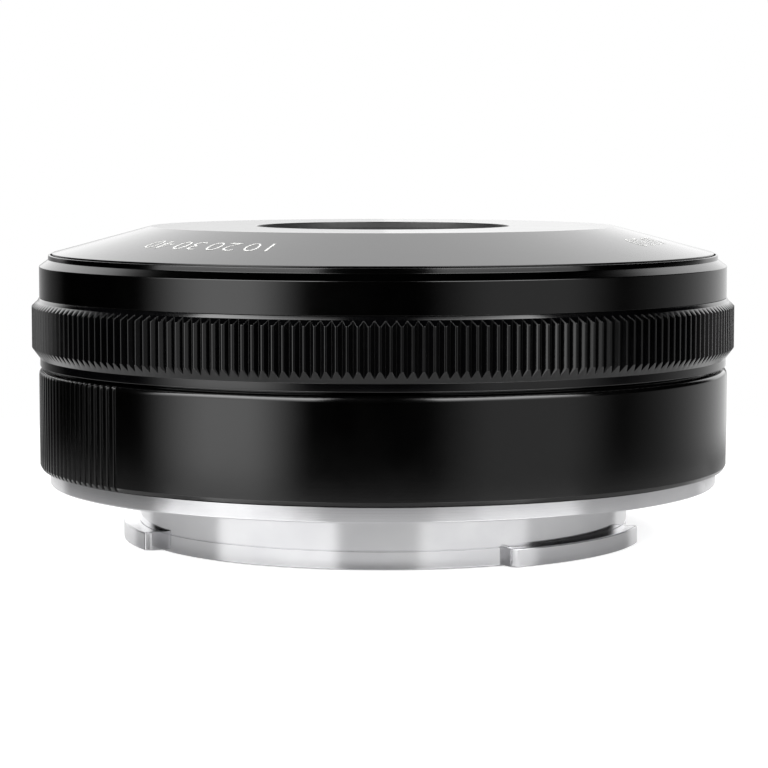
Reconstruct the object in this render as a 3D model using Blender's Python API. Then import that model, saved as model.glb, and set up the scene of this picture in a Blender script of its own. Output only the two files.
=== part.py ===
"""A compact manual prime lens, standing on its bayonet with the front glass up.

The origin is the centre of the bayonet's rear rim, and +Z is the optical axis, towards the
subject. Sizes are in millimetres, and are scaled to metres as the meshes are made. The focus
ring stands at infinity, where the optical unit is fully back, and the iris is wide open.

Turning the focus ring carries a cam sleeve with three helical slots. Three followers on the
lens barrel stand in those slots and in three straight slots of a fixed guide sleeve, so the
whole optical unit slides forward without turning. The aperture ring rides on that unit and
turns the iris drive ring through a pin and a forked lever.
"""
import math

import bmesh
import bpy
from mathutils import Matrix, Vector

MM = 0.001

# Driving dimensions: the outside of the lens.
LUG_RADIUS = 23.0
TUBE_RADIUS = 21.6
TUBE_BORE = 19.6
FLANGE_RADIUS = 29.15
FOCUS_RADIUS = 30.3
KNURL_RADIUS = 30.9
FRONT_RADIUS = 30.23
BEZEL_RADIUS = 29.1
BEZEL_FLAT_RADIUS = 20.5
FRONT_HOLE_RADIUS = 11.1

LUG_TOP = 1.55
LUG_STARTS = (-62.3, 48.5, 161.6)
LUG_SPAN = 47
FLANGE_BACK = 4.9
FLANGE_FRONT = 6.2
FOCUS_BACK = 6.35
FOCUS_SHOULDER = 9.9
CAM_SEAT = 10.8
FOCUS_FRONT = 15.2
SKIRT_BACK = 11.5
KNURL_BACK = 15.4
KNURL_FRONT = 21.05
FRONT_BARREL_BACK = 21.2
FRONT_BARREL_TOP = 24.9
FRONT_TOP = 27.4

# Focusing: the turn from infinity to close focus, and the travel that it gives.
FOCUS_TURN = math.radians(100)
FOCUS_TRAVEL = 3.0
FOLLOWER_RADIUS = 0.9
FOLLOWER_HEIGHT = 9.5
FOLLOWER_ANGLES = [math.radians(a) for a in (90, 210, 330)]
SLOT_HALF_WIDTH = 1.05

# Radii of the nested focusing sleeves, from the inside out.
DRUM_INNER, DRUM_OUTER = 22.8, 24.0
GUIDE_INNER, GUIDE_OUTER = 24.2, 25.4
CAM_INNER, CAM_OUTER = 25.6, 27.0
FOCUS_BORE = 27.2
CARRIER_INNER, CARRIER_OUTER = 25.2, 27.2
KNURL_BORE = 27.45
SKIRT_INNER, SKIRT_OUTER = 28.0, 28.7
COLLAR_INNER, COLLAR_OUTER = 15.4, 16.4

# The iris: its blades, and the turn of the aperture ring from wide open to closed.
BLADE_COUNT = 6
APERTURE_TURN = math.radians(48)
BLADE_TURN = math.radians(25)
PIVOT_RADIUS = 11.6
DRIVE_RADIUS = 12.6
DRIVE_LAG = math.radians(11)
BLADE_INNER, BLADE_OUTER = 6.5, 10.7
BLADE_THICKNESS = 0.12
BLADE_PITCH = 0.24
BLADE_BOTTOM = 14.15
BLADE_SPAN = math.radians(128)
IRIS_PIN_RADIUS = 0.45
IRIS_FLOOR, IRIS_FLOOR_TOP = 13.4, 14.0
DRIVE_RING_BOTTOM, DRIVE_RING_TOP = 15.7, 16.4
LEVER_BOTTOM, LEVER_TOP = 18.6, 19.3
LEVER_ANGLE = math.radians(160)

MOUNT_SCREW_CIRCLE = 25.6
MOUNT_SCREW_ANGLES = [math.radians(45 + 90 * k) for k in range(4)]
CAM_SCREW_CIRCLE = 28.0
CAM_SCREW_ANGLES = [math.radians(30 + 120 * k) for k in range(3)]
FRONT_SCREW_CIRCLE = 26.2
FRONT_SCREW_ANGLES = [math.radians(10 + 120 * k) for k in range(3)]

RING_SEGMENTS = 40
CELL_SEGMENTS = 24
SCREW_SEGMENTS = 8


def finish(name, colour, roughness, metallic):
    """A Principled material with one colour."""
    material = bpy.data.materials.new(name)
    material.use_nodes = True
    shader = material.node_tree.nodes["Principled BSDF"]
    shader.inputs["Base Color"].default_value = (*colour, 1)
    shader.inputs["Roughness"].default_value = roughness
    shader.inputs["Metallic"].default_value = metallic
    return material


def polar(radius, angle):
    """A point in the XY plane, in millimetres."""
    return Vector((radius * math.cos(angle), radius * math.sin(angle)))


def at(radius, angle, height=0.0):
    """A placement: out along X by radius, then turned about Z by angle."""
    return Matrix.Rotation(angle, 4, "Z") @ Matrix.Translation((radius * MM, 0, height * MM))


def radial(angle, height):
    """A placement that lays a piece turned about its own Z out along a radius."""
    lying = Matrix.Rotation(math.radians(90), 4, "Y")
    return Matrix.Rotation(angle, 4, "Z") @ Matrix.Translation((0, 0, height * MM)) @ lying


def add_turned(bm, outline, segments, placement=Matrix.Identity(4)):
    """Turn a closed outline of (radius, height) points about Z; radius 0 is a pole."""
    rings = []
    for radius, height in outline:
        ring = []
        for i in range(segments if radius else 1):
            point = polar(radius, math.tau * i / segments)
            ring.append(bm.verts.new(placement @ (Vector((*point, height)) * MM)))
        rings.append(ring)
    for ring, following in zip(rings, rings[1:] + rings[:1]):
        for i in range(segments):
            j = i + 1
            corners = [ring[i % len(ring)], ring[j % len(ring)]]
            corners += [following[j % len(following)], following[i % len(following)]]
            corners = list(dict.fromkeys(corners))
            if len(corners) > 2:
                bm.faces.new(corners)


def add_rod(bm, radius, low, high, segments=SCREW_SEGMENTS, placement=Matrix.Identity(4)):
    """A plain rod along the placement's Z."""
    add_turned(bm, [(0, low), (radius, low), (radius, high), (0, high)], segments, placement)


def add_prism(bm, outline, low, high, placement=Matrix.Identity(4)):
    """Extrude a flat outline of XY points from one height to another."""
    floor = [bm.verts.new(placement @ (Vector((x, y, low)) * MM)) for x, y in outline]
    roof = [bm.verts.new(placement @ (Vector((x, y, high)) * MM)) for x, y in outline]
    bm.faces.new(floor)
    bm.faces.new(roof)
    for i in range(len(outline)):
        j = (i + 1) % len(outline)
        bm.faces.new([floor[i], floor[j], roof[j], roof[i]])


def add_bent_strip(bm, stations, inner, outer):
    """A strip bent round Z, through stations of (angle, lowest height, highest height)."""
    rows = []
    for angle, low, high in stations:
        row = []
        for radius, height in ((inner, low), (outer, low), (outer, high), (inner, high)):
            row.append(bm.verts.new(Vector((*polar(radius, angle), height)) * MM))
        rows.append(row)
    for row, following in zip(rows, rows[1:]):
        for i in range(4):
            j = (i + 1) % 4
            bm.faces.new([row[i], row[j], following[j], following[i]])
    bm.faces.new(rows[0])
    bm.faces.new(rows[-1])


def sector(start, end, low, high, steps):
    """Stations of equal height for a straight sided window or lug."""
    return [(start + (end - start) * i / steps, low, high) for i in range(steps + 1)]


def capsule(path, half_width, end_steps=4):
    """The outline of a slot of one width along a path of XY points."""
    points = [Vector(p) for p in path]
    outline = []
    for side in (1, -1):
        ordered = points if side == 1 else points[::-1]
        for i, point in enumerate(ordered):
            ahead = ordered[min(i + 1, len(ordered) - 1)] - ordered[max(i - 1, 0)]
            outward = Vector((ahead.y, -ahead.x)).normalized() * half_width
            outline.append(point + outward)
        facing = math.atan2(outward.y, outward.x)
        for k in range(1, end_steps):
            outline.append(ordered[-1] + polar(half_width, facing + math.pi * k / end_steps))
    return outline


def solid(name, bm, material):
    """Make the named object from a bmesh, with its faces pointing out."""
    bmesh.ops.recalc_face_normals(bm, faces=bm.faces)
    mesh = bpy.data.meshes.new(name)
    bm.to_mesh(mesh)
    bm.free()
    mesh.materials.append(material)
    piece = bpy.data.objects.new(name, mesh)
    bpy.context.scene.collection.objects.link(piece)
    return piece


def combine(piece, tool_bm, operation):
    """Cut or join a piece with a tool, and drop the tool."""
    tool = solid(piece.name + "_tool", tool_bm, piece.data.materials[0])
    modifier = piece.modifiers.new(operation.lower(), "BOOLEAN")
    modifier.operation = operation
    modifier.solver = "EXACT"
    modifier.object = tool
    depsgraph = bpy.context.evaluated_depsgraph_get()
    result = bpy.data.meshes.new_from_object(piece.evaluated_get(depsgraph))
    piece.modifiers.remove(modifier)
    piece.data = result
    bpy.data.objects.remove(tool)


def turned_piece(name, outline, segments, material):
    """A named piece turned about the optical axis."""
    bm = bmesh.new()
    add_turned(bm, outline, segments)
    return solid(name, bm, material)


def bayonet_mount(material):
    """The silver mount: a tube with three lugs, and the flange that meets the camera."""
    chamfer = 0.35
    outline = [(TUBE_BORE, 0), (TUBE_RADIUS, 0), (TUBE_RADIUS, FLANGE_BACK),
               (FLANGE_RADIUS - chamfer, FLANGE_BACK), (FLANGE_RADIUS, FLANGE_BACK + chamfer),
               (FLANGE_RADIUS, FLANGE_FRONT), (TUBE_BORE, FLANGE_FRONT)]
    piece = turned_piece("bayonet_mount", outline, RING_SEGMENTS, material)

    lugs = bmesh.new()
    for start in LUG_STARTS:
        end = start + LUG_SPAN
        stations = sector(math.radians(start), math.radians(end), 0, LUG_TOP, 12)
        add_bent_strip(lugs, stations, TUBE_RADIUS - 0.7, LUG_RADIUS)
    combine(piece, lugs, "UNION")

    holes = bmesh.new()
    countersink = [(0, 4), (1.5, 4), (1.5, 5.0), (0.75, 5.75), (0.75, 7), (0, 7)]
    for angle in MOUNT_SCREW_ANGLES:
        add_turned(holes, countersink, SCREW_SEGMENTS, at(MOUNT_SCREW_CIRCLE, angle))
    lock_pin_pocket = at(25.4, math.radians(15))
    add_rod(holes, 1.15, 4, 5.9, 12, lock_pin_pocket)
    add_rod(holes, 0.42, 28.6, 30, SCREW_SEGMENTS, radial(math.radians(90), 5.72))
    combine(piece, holes, "DIFFERENCE")


def mount_index_dot(material):
    """The coloured dot on the flange's rim that shows how the lens enters the camera."""
    bm = bmesh.new()
    add_rod(bm, 0.32, 28.7, FLANGE_RADIUS, SCREW_SEGMENTS, radial(math.radians(90), 5.72))
    solid("mount_index_dot", bm, material)


def mount_screws(material):
    """Four countersunk screws that hold the bayonet to the guide sleeve."""
    outline = [(0, 4.95), (1.3, 4.95), (1.3, 5.05), (0.6, 5.75), (0.6, 7.5), (0, 7.5)]
    for number, angle in enumerate(MOUNT_SCREW_ANGLES, 1):
        bm = bmesh.new()
        add_turned(bm, outline, SCREW_SEGMENTS, at(MOUNT_SCREW_CIRCLE, angle))
        solid(f"mount_screw_{number}", bm, material)


def rear_baffle(material):
    """The black dish inside the bayonet tube that stops stray light."""
    outline = [(9.0, 4.3), (18.4, 4.3), (18.4, 0.5), (19.4, 0.5), (19.4, 4.9), (9.0, 4.9)]
    turned_piece("rear_baffle", outline, RING_SEGMENTS, material)


def guide_sleeve(material):
    """The fixed sleeve, with a foot on the bayonet and three straight slots."""
    foot_radius, foot_top, top = 26.9, 8.0, 14.3
    outline = [(GUIDE_INNER, FOCUS_BACK), (foot_radius, FOCUS_BACK), (foot_radius, foot_top),
               (GUIDE_OUTER, foot_top), (GUIDE_OUTER, top), (GUIDE_INNER, top)]
    piece = turned_piece("guide_sleeve", outline, RING_SEGMENTS, material)

    openings = bmesh.new()
    stroke = [(-FOLLOWER_HEIGHT, 0), (-FOLLOWER_HEIGHT - FOCUS_TRAVEL, 0)]
    slot = capsule(stroke, SLOT_HALF_WIDTH)
    for angle in FOLLOWER_ANGLES:
        add_prism(openings, slot, GUIDE_INNER - 0.6, GUIDE_OUTER + 0.6, radial(angle, 0))
    for angle in MOUNT_SCREW_ANGLES:
        add_rod(openings, 0.75, FOCUS_BACK - 1, 7.7, SCREW_SEGMENTS, at(MOUNT_SCREW_CIRCLE, angle))
    combine(piece, openings, "DIFFERENCE")


def cam_retaining_ring(material):
    """The thin ring on top of the guide sleeve that keeps the cam sleeve down."""
    outline = [(GUIDE_INNER, 14.4), (26.4, 14.4), (26.4, 14.85), (GUIDE_INNER, 14.85)]
    turned_piece("cam_retaining_ring", outline, RING_SEGMENTS, material)


def focus_ring(material):
    """The broad outer ring that the hand turns to focus, with a seat for the cam sleeve."""
    rim_bore = 29.1
    outline = [(FOCUS_BORE, FOCUS_BACK), (FOCUS_RADIUS - 0.2, FOCUS_BACK),
               (FOCUS_RADIUS, FOCUS_BACK + 0.35), (FOCUS_RADIUS, FOCUS_FRONT - 0.4),
               (FOCUS_RADIUS - 0.4, FOCUS_FRONT), (rim_bore, FOCUS_FRONT),
               (rim_bore, FOCUS_SHOULDER), (FOCUS_BORE, FOCUS_SHOULDER)]
    piece = turned_piece("focus_ring", outline, RING_SEGMENTS, material)
    holes = bmesh.new()
    for angle in CAM_SCREW_ANGLES:
        add_rod(holes, 0.6, 7.7, FOCUS_SHOULDER + 1, SCREW_SEGMENTS, at(CAM_SCREW_CIRCLE, angle))
    combine(piece, holes, "DIFFERENCE")


def cam_sleeve(material):
    """The sleeve inside the focus ring, with three helical slots for the followers."""
    back, front, flange_back, flange_radius = 8.15, 14.25, FOCUS_SHOULDER + 0.15, 28.9
    outline = [(CAM_INNER, back), (CAM_OUTER, back), (CAM_OUTER, flange_back),
               (flange_radius, flange_back), (flange_radius, CAM_SEAT),
               (CAM_OUTER, CAM_SEAT), (CAM_OUTER, front), (CAM_INNER, front)]
    piece = turned_piece("cam_sleeve", outline, RING_SEGMENTS, material)

    openings = bmesh.new()
    for angle in FOLLOWER_ANGLES:
        add_bent_strip(openings, helical_slot(angle), CAM_INNER - 0.5, CAM_OUTER + 0.1)
    for angle in CAM_SCREW_ANGLES:
        placement = at(CAM_SCREW_CIRCLE, angle)
        add_rod(openings, 0.6, flange_back - 1, CAM_SEAT + 1, SCREW_SEGMENTS, placement)
    combine(piece, openings, "DIFFERENCE")


def helical_slot(start):
    """Stations of a slot that climbs as it runs clockwise from a follower's angle."""
    mean_radius = (CAM_INNER + CAM_OUTER) / 2
    steps = 20
    stations = []
    for fraction in (0.87, 0.5):
        reach = SLOT_HALF_WIDTH * fraction / mean_radius
        half = SLOT_HALF_WIDTH * math.sqrt(1 - fraction ** 2)
        stations.append((start + reach, FOLLOWER_HEIGHT - half, FOLLOWER_HEIGHT + half))
    for i in range(steps + 1):
        height = FOLLOWER_HEIGHT + FOCUS_TRAVEL * i / steps
        angle = start - FOCUS_TURN * i / steps
        stations.append((angle, height - SLOT_HALF_WIDTH, height + SLOT_HALF_WIDTH))
    for fraction in (0.5, 0.87):
        reach = SLOT_HALF_WIDTH * fraction / mean_radius
        half = SLOT_HALF_WIDTH * math.sqrt(1 - fraction ** 2)
        stations.append((start - FOCUS_TURN - reach, height - half, height + half))
    return stations


def pan_screws(name, angles, circle, tip, seat, material):
    """Small screws along Z, whose heads stand on a seat."""
    outline = [(0, tip), (0.45, tip), (0.45, seat + 0.1), (0.85, seat + 0.1),
               (0.85, seat + 0.4), (0.6, seat + 0.5), (0, seat + 0.5)]
    for number, angle in enumerate(angles, 1):
        bm = bmesh.new()
        add_turned(bm, outline, SCREW_SEGMENTS, at(circle, angle))
        solid(f"{name}_{number}", bm, material)


def lens_barrel(material):
    """The sliding carrier: a drum in the guide sleeve, and the seats of iris and cells."""
    well_floor, well_top, web_back, web_front = 12.2, 13.2, 15.2, 16.4
    drum_back, carrier_front, collar_front, cell_bore = 8.2, 21.05, 21.6, 10.4
    outline = [(cell_bore, well_floor), (COLLAR_OUTER, well_floor), (COLLAR_OUTER, web_back),
               (DRUM_INNER, web_back), (DRUM_INNER, drum_back), (DRUM_OUTER, drum_back),
               (DRUM_OUTER, web_back), (CARRIER_OUTER, web_back),
               (CARRIER_OUTER, carrier_front), (CARRIER_INNER, carrier_front),
               (CARRIER_INNER, web_front), (COLLAR_OUTER, web_front),
               (COLLAR_OUTER, collar_front), (COLLAR_INNER, collar_front),
               (COLLAR_INNER, well_top), (cell_bore, well_top)]
    piece = turned_piece("lens_barrel", outline, RING_SEGMENTS, material)

    openings = bmesh.new()
    start = LEVER_ANGLE - math.radians(9)
    end = LEVER_ANGLE + APERTURE_TURN + math.radians(9)
    lever_window = sector(start, end, LEVER_BOTTOM - 0.35, LEVER_TOP + 0.35, 12)
    add_bent_strip(openings, lever_window, COLLAR_INNER - 0.5, COLLAR_OUTER + 0.5)
    pin_window = sector(start, end, LEVER_BOTTOM - 0.6, LEVER_TOP + 0.6, 12)
    add_bent_strip(openings, pin_window, CARRIER_INNER - 0.5, CARRIER_OUTER + 0.5)
    for angle in FOLLOWER_ANGLES:
        placement = radial(angle, FOLLOWER_HEIGHT)
        add_rod(openings, SLOT_HALF_WIDTH, DRUM_INNER - 0.6, DRUM_OUTER + 0.6, 10, placement)
    for angle in FRONT_SCREW_ANGLES:
        add_rod(openings, 0.6, 18.9, carrier_front + 1, SCREW_SEGMENTS,
                at(FRONT_SCREW_CIRCLE, angle))
    combine(piece, openings, "DIFFERENCE")


def cam_followers(material):
    """Three round pins from the lens barrel's drum into the guide and cam slots."""
    for number, angle in enumerate(FOLLOWER_ANGLES, 1):
        bm = bmesh.new()
        placement = radial(angle, FOLLOWER_HEIGHT)
        add_rod(bm, FOLLOWER_RADIUS, DRUM_INNER + 0.1, CAM_OUTER - 0.15, 10, placement)
        solid(f"cam_follower_{number}", bm, material)


def front_barrel(material):
    """The smooth ring in front of the aperture ring."""
    seat_bore, seat_top, rim_bore = 24.9, 22.6, 29.25
    outline = [(seat_bore, FRONT_BARREL_BACK), (FRONT_RADIUS, FRONT_BARREL_BACK),
               (FRONT_RADIUS, FRONT_BARREL_TOP - 0.9), (29.42, FRONT_BARREL_TOP),
               (rim_bore, FRONT_BARREL_TOP), (rim_bore, seat_top), (seat_bore, seat_top)]
    piece = turned_piece("front_barrel", outline, RING_SEGMENTS, material)
    holes = bmesh.new()
    for angle in FRONT_SCREW_ANGLES:
        placement = at(FRONT_SCREW_CIRCLE, angle)
        add_rod(holes, 0.6, FRONT_BARREL_BACK - 1, seat_top + 1, SCREW_SEGMENTS, placement)
    combine(piece, holes, "DIFFERENCE")


def front_bezel(material):
    """The conical name ring without a name, with the round window for the front glass."""
    collar_back, tube_back, wall = 23.5, 22.8, 1.0
    cone_back = FRONT_BARREL_TOP + 0.07
    outline = [(BEZEL_RADIUS, collar_back), (BEZEL_RADIUS, cone_back),
               (BEZEL_FLAT_RADIUS, FRONT_TOP), (FRONT_HOLE_RADIUS, FRONT_TOP),
               (10.7, tube_back), (10.7 + wall, tube_back),
               (FRONT_HOLE_RADIUS + wall, FRONT_TOP - wall),
               (BEZEL_FLAT_RADIUS - 0.2, FRONT_TOP - wall),
               (BEZEL_RADIUS - 1.2, cone_back - 0.8), (BEZEL_RADIUS - 1.2, collar_back)]
    turned_piece("front_bezel", outline, RING_SEGMENTS, material)


def aperture_ring(material):
    """The knurled ring that closes the iris, with a skirt that stays in the focus ring."""
    outline = [(KNURL_BORE, KNURL_BACK), (SKIRT_INNER, KNURL_BACK), (SKIRT_INNER, SKIRT_BACK),
               (SKIRT_OUTER, SKIRT_BACK), (SKIRT_OUTER, KNURL_BACK), (30.2, KNURL_BACK),
               (30.2, 16.0), (KNURL_RADIUS, 16.95), (KNURL_RADIUS, 20.5), (30.25, KNURL_FRONT),
               (KNURL_BORE, KNURL_FRONT)]
    piece = turned_piece("aperture_ring", outline, RING_SEGMENTS, material)
    hole = bmesh.new()
    add_rod(hole, 0.75, KNURL_BORE - 1, 29.8, 10, radial(LEVER_ANGLE, lever_middle()))
    combine(piece, hole, "DIFFERENCE")


def lever_middle():
    """The height of the aperture ring's pin, in the middle of the iris lever."""
    return (LEVER_BOTTOM + LEVER_TOP) / 2


def aperture_drive_pin(material):
    """The pin in the aperture ring that reaches in to the iris lever."""
    bm = bmesh.new()
    add_rod(bm, 0.6, 22.2, 29.6, 10, radial(LEVER_ANGLE, lever_middle()))
    solid("aperture_drive_pin", bm, material)


def iris_housing(material):
    """The shallow cup that carries the blades' pivots."""
    outline = [(6.3, IRIS_FLOOR), (15.1, IRIS_FLOOR), (15.1, 15.55), (14.5, 15.55),
               (14.5, IRIS_FLOOR_TOP), (6.3, IRIS_FLOOR_TOP)]
    piece = turned_piece("iris_housing", outline, RING_SEGMENTS, material)
    holes = bmesh.new()
    for k in range(BLADE_COUNT):
        placement = at(PIVOT_RADIUS, math.tau * k / BLADE_COUNT)
        add_rod(holes, 0.6, IRIS_FLOOR - 1, IRIS_FLOOR_TOP + 1, SCREW_SEGMENTS, placement)
    combine(piece, holes, "DIFFERENCE")


def drive_pin_offset():
    """Where a blade's drive pin is, from its pivot, when the pivot lies along +X."""
    return polar(DRIVE_RADIUS, -DRIVE_LAG) - Vector((PIVOT_RADIUS, 0))


def cam_slot_path(steps=7):
    """The path of a blade's drive pin across the drive ring, as the ring turns."""
    path = []
    for i in range(steps + 1):
        share = i / steps
        swung = Matrix.Rotation(BLADE_TURN * share, 2) @ drive_pin_offset()
        place = swung + Vector((PIVOT_RADIUS, 0))
        path.append(Matrix.Rotation(-APERTURE_TURN * share, 2) @ place)
    return path


def iris_drive_ring(material):
    """The ring with a curved slot for each blade, and the forked lever that turns it."""
    outline = [(7.2, DRIVE_RING_BOTTOM), (15.1, DRIVE_RING_BOTTOM),
               (15.1, DRIVE_RING_TOP), (7.2, DRIVE_RING_TOP)]
    piece = turned_piece("iris_drive_ring", outline, RING_SEGMENTS, material)

    slots = bmesh.new()
    slot = capsule(cam_slot_path(), IRIS_PIN_RADIUS + 0.15)
    for k in range(BLADE_COUNT):
        placement = Matrix.Rotation(math.tau * k / BLADE_COUNT, 4, "Z")
        add_prism(slots, slot, DRIVE_RING_BOTTOM - 1, DRIVE_RING_TOP + 1, placement)
    combine(piece, slots, "DIFFERENCE")

    half_width, fork_half, fork_root, fork_tip = 1.9, 0.75, 21.4, 24.2
    riser = bmesh.new()
    foot = [(14.25, -half_width), (14.9, -half_width), (14.9, half_width), (14.25, half_width)]
    turn = Matrix.Rotation(LEVER_ANGLE, 4, "Z")
    add_prism(riser, foot, DRIVE_RING_TOP - 0.3, LEVER_TOP, turn)
    combine(piece, riser, "UNION")
    arm = bmesh.new()
    fork = [(14.6, -half_width), (fork_tip, -half_width), (fork_tip, -fork_half),
            (fork_root, -fork_half), (fork_root, fork_half), (fork_tip, fork_half),
            (fork_tip, half_width), (14.6, half_width)]
    add_prism(arm, fork, LEVER_BOTTOM, LEVER_TOP - 0.02, turn)
    combine(piece, arm, "UNION")


def blade_outline():
    """A sickle, with a boss round the pivot and an arm to the drive pin, pivot at 0, 0."""
    pivot = Vector((PIVOT_RADIUS, 0))
    drive = polar(DRIVE_RADIUS, -DRIVE_LAG)
    inner_start, outer_start = math.radians(8), math.radians(14)
    steps = 9
    points = []
    for i in range(steps + 1):
        angle = BLADE_SPAN + (inner_start - BLADE_SPAN) * i / steps
        points.append(polar(BLADE_INNER, angle))
    points.append(polar(9.6, math.radians(-4)))
    for direction in (200, 250, 300, 350):
        points.append(drive + polar(0.9, math.radians(direction)))
    for direction in (10, 60):
        points.append(pivot + polar(1.0, math.radians(direction)))
    for i in range(steps + 1):
        angle = outer_start + (BLADE_SPAN - outer_start) * i / steps
        points.append(polar(BLADE_OUTER, angle))
    return [point - pivot for point in points]


def iris_blades(material):
    """Thin blades, each on its own level, with a pivot pin below and a drive pin above."""
    for k in range(BLADE_COUNT):
        bottom = BLADE_BOTTOM + BLADE_PITCH * k
        top = bottom + BLADE_THICKNESS
        bm = bmesh.new()
        add_prism(bm, blade_outline(), bottom, top)
        blade = solid(f"iris_blade_{k + 1}", bm, material)
        pins = bmesh.new()
        add_rod(pins, IRIS_PIN_RADIUS, IRIS_FLOOR + 0.1, top + 0.05)
        drive = drive_pin_offset() * MM
        placement = Matrix.Translation((drive.x, drive.y, 0))
        add_rod(pins, IRIS_PIN_RADIUS, bottom - 0.05, DRIVE_RING_TOP - 0.1, placement=placement)
        combine(blade, pins, "UNION")
        angle = math.tau * k / BLADE_COUNT
        blade.location = Vector((*polar(PIVOT_RADIUS, angle), 0)) * MM
        blade.rotation_euler.z = angle


def front_cell(material):
    """The threaded cell in front of the iris, with seats for two elements."""
    outline = [(8.0, 16.65), (12.9, 16.65), (12.9, 20.3), (15.2, 20.3), (15.2, 21.7),
               (12.9, 21.7), (12.9, 22.6), (10.0, 22.6), (10.0, 19.2), (9.1, 19.2),
               (9.1, 17.2), (8.0, 17.2)]
    turned_piece("front_cell", outline, CELL_SEGMENTS, material)


def rear_cell(material):
    """The threaded cell behind the iris, with seats for the doublet and the rear element."""
    outline = [(9.2, 5.1), (10.2, 5.1), (10.2, 10.9), (11.6, 10.9), (11.6, 12.05),
               (10.2, 12.05), (10.2, 13.1), (6.8, 13.1), (6.8, 12.5), (8.1, 12.5),
               (8.1, 8.0), (9.2, 8.0)]
    turned_piece("rear_cell", outline, CELL_SEGMENTS, material)


def surface_sag(radius, curvature_radius):
    """How far a spherical surface falls from its vertex; a negative radius is hollow."""
    bend = abs(curvature_radius)
    sag = bend - math.sqrt(bend ** 2 - radius ** 2)
    return math.copysign(sag, curvature_radius)


def element(name, radius, rim_back, rim_front, back_bend, front_bend, material):
    """A lens element: a rim between two spherical surfaces, bulging out where bend > 0."""
    shares = (1, 0.75, 0.4, 0)
    edge_back, edge_front = surface_sag(radius, back_bend), surface_sag(radius, front_bend)
    back, front = [], []
    for share in shares:
        distance = radius * share
        back.append((distance, rim_back - edge_back + surface_sag(distance, back_bend)))
        front.append((distance, rim_front + edge_front - surface_sag(distance, front_bend)))
    turned_piece(name, back[::-1] + front, CELL_SEGMENTS, material)


def plain_ring(name, bore, radius, low, high, material):
    """A spacer or retaining ring."""
    outline = [(bore, low), (radius, low), (radius, high), (bore, high)]
    turned_piece(name, outline, CELL_SEGMENTS, material)


def optics(glass, black):
    """Five elements, and the rings that part them and hold them in their cells."""
    element("front_element", 9.8, 19.4, 20.6, -40, 24, glass)
    plain_ring("front_retaining_ring", 9.0, 9.85, 21.15, 22.3, black)
    plain_ring("front_spacer", 8.0, 8.9, 18.75, 19.15, black)
    element("second_element", 8.9, 17.4, 18.55, -34, 60, glass)
    element("doublet_front_element", 7.9, 10.8, 11.3, 30, 20, glass)
    element("doublet_rear_element", 7.9, 8.4, 10.7, -60, -30, glass)
    plain_ring("rear_spacer", 8.3, 9.0, 7.3, 7.85, black)
    element("rear_element", 9.0, 6.4, 7.0, 26, 40, glass)
    plain_ring("rear_retaining_ring", 8.3, 9.05, 5.25, 5.85, black)


def build():
    """Clear the scene and make every piece of the lens."""
    for leftover in list(bpy.data.objects):
        bpy.data.objects.remove(leftover, do_unlink=True)

    silver = finish("satin_chrome", (0.78, 0.78, 0.77), 0.25, 1.0)
    anodised = finish("black_anodised", (0.018, 0.018, 0.019), 0.38, 0.0)
    flock = finish("matt_black", (0.01, 0.01, 0.01), 0.8, 0.0)
    brass = finish("turned_brass", (0.72, 0.55, 0.27), 0.35, 1.0)
    steel = finish("blackened_steel", (0.06, 0.06, 0.065), 0.4, 1.0)
    bright = finish("bright_steel", (0.6, 0.6, 0.62), 0.3, 1.0)
    glass = finish("coated_glass", (0.55, 0.6, 0.7), 0.05, 0.0)
    red = finish("red_paint", (0.5, 0.02, 0.02), 0.4, 0.0)

    bayonet_mount(silver)
    mount_index_dot(red)
    mount_screws(bright)
    rear_baffle(flock)
    guide_sleeve(anodised)
    cam_retaining_ring(brass)

    focus_ring(anodised)
    cam_sleeve(brass)
    pan_screws("cam_screw", CAM_SCREW_ANGLES, CAM_SCREW_CIRCLE, 7.9, CAM_SEAT, steel)

    lens_barrel(anodised)
    cam_followers(brass)
    front_barrel(anodised)
    pan_screws("front_barrel_screw", FRONT_SCREW_ANGLES, FRONT_SCREW_CIRCLE, 19.1, 22.6, steel)
    front_bezel(anodised)
    front_cell(flock)
    rear_cell(flock)
    optics(glass, flock)

    iris_housing(flock)
    iris_blades(steel)
    iris_drive_ring(brass)
    aperture_ring(anodised)
    aperture_drive_pin(steel)

    for piece in bpy.data.objects:
        piece.data.shade_smooth()
        piece.data.set_sharp_from_angle(angle=math.radians(30))


build()
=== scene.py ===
"""A compact manual prime lens: the visual model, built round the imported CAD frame.

Everything is in the row frame: the origin is the centre of the bayonet's rear rim, +Z is the
optical axis, and the camera stands towards -Y. Sizes in the shape code are in millimetres.
"""

import math

import bmesh
import bpy
from mathutils import Matrix, Vector


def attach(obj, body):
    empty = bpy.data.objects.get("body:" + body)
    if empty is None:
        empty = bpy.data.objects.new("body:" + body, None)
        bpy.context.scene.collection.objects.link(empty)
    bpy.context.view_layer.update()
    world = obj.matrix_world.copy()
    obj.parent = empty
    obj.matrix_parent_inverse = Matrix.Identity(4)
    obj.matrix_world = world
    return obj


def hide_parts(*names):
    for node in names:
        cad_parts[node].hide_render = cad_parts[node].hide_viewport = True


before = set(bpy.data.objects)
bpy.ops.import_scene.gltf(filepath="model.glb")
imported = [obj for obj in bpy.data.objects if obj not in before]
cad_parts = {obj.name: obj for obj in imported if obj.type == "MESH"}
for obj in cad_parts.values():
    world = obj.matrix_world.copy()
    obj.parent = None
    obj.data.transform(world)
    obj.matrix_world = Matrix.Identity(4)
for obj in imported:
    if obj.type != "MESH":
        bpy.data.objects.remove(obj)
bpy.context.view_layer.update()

MM = 0.001
FILLET_STEPS = 4
RING_COLUMNS = 288
FINE_COLUMNS = 360
CELL_COLUMNS = 160
GLASS_COLUMNS = 96
SCREW_COLUMNS = 48
SHARP_ANGLE = math.radians(48)
SOFT_EDGE = 0.04

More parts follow.
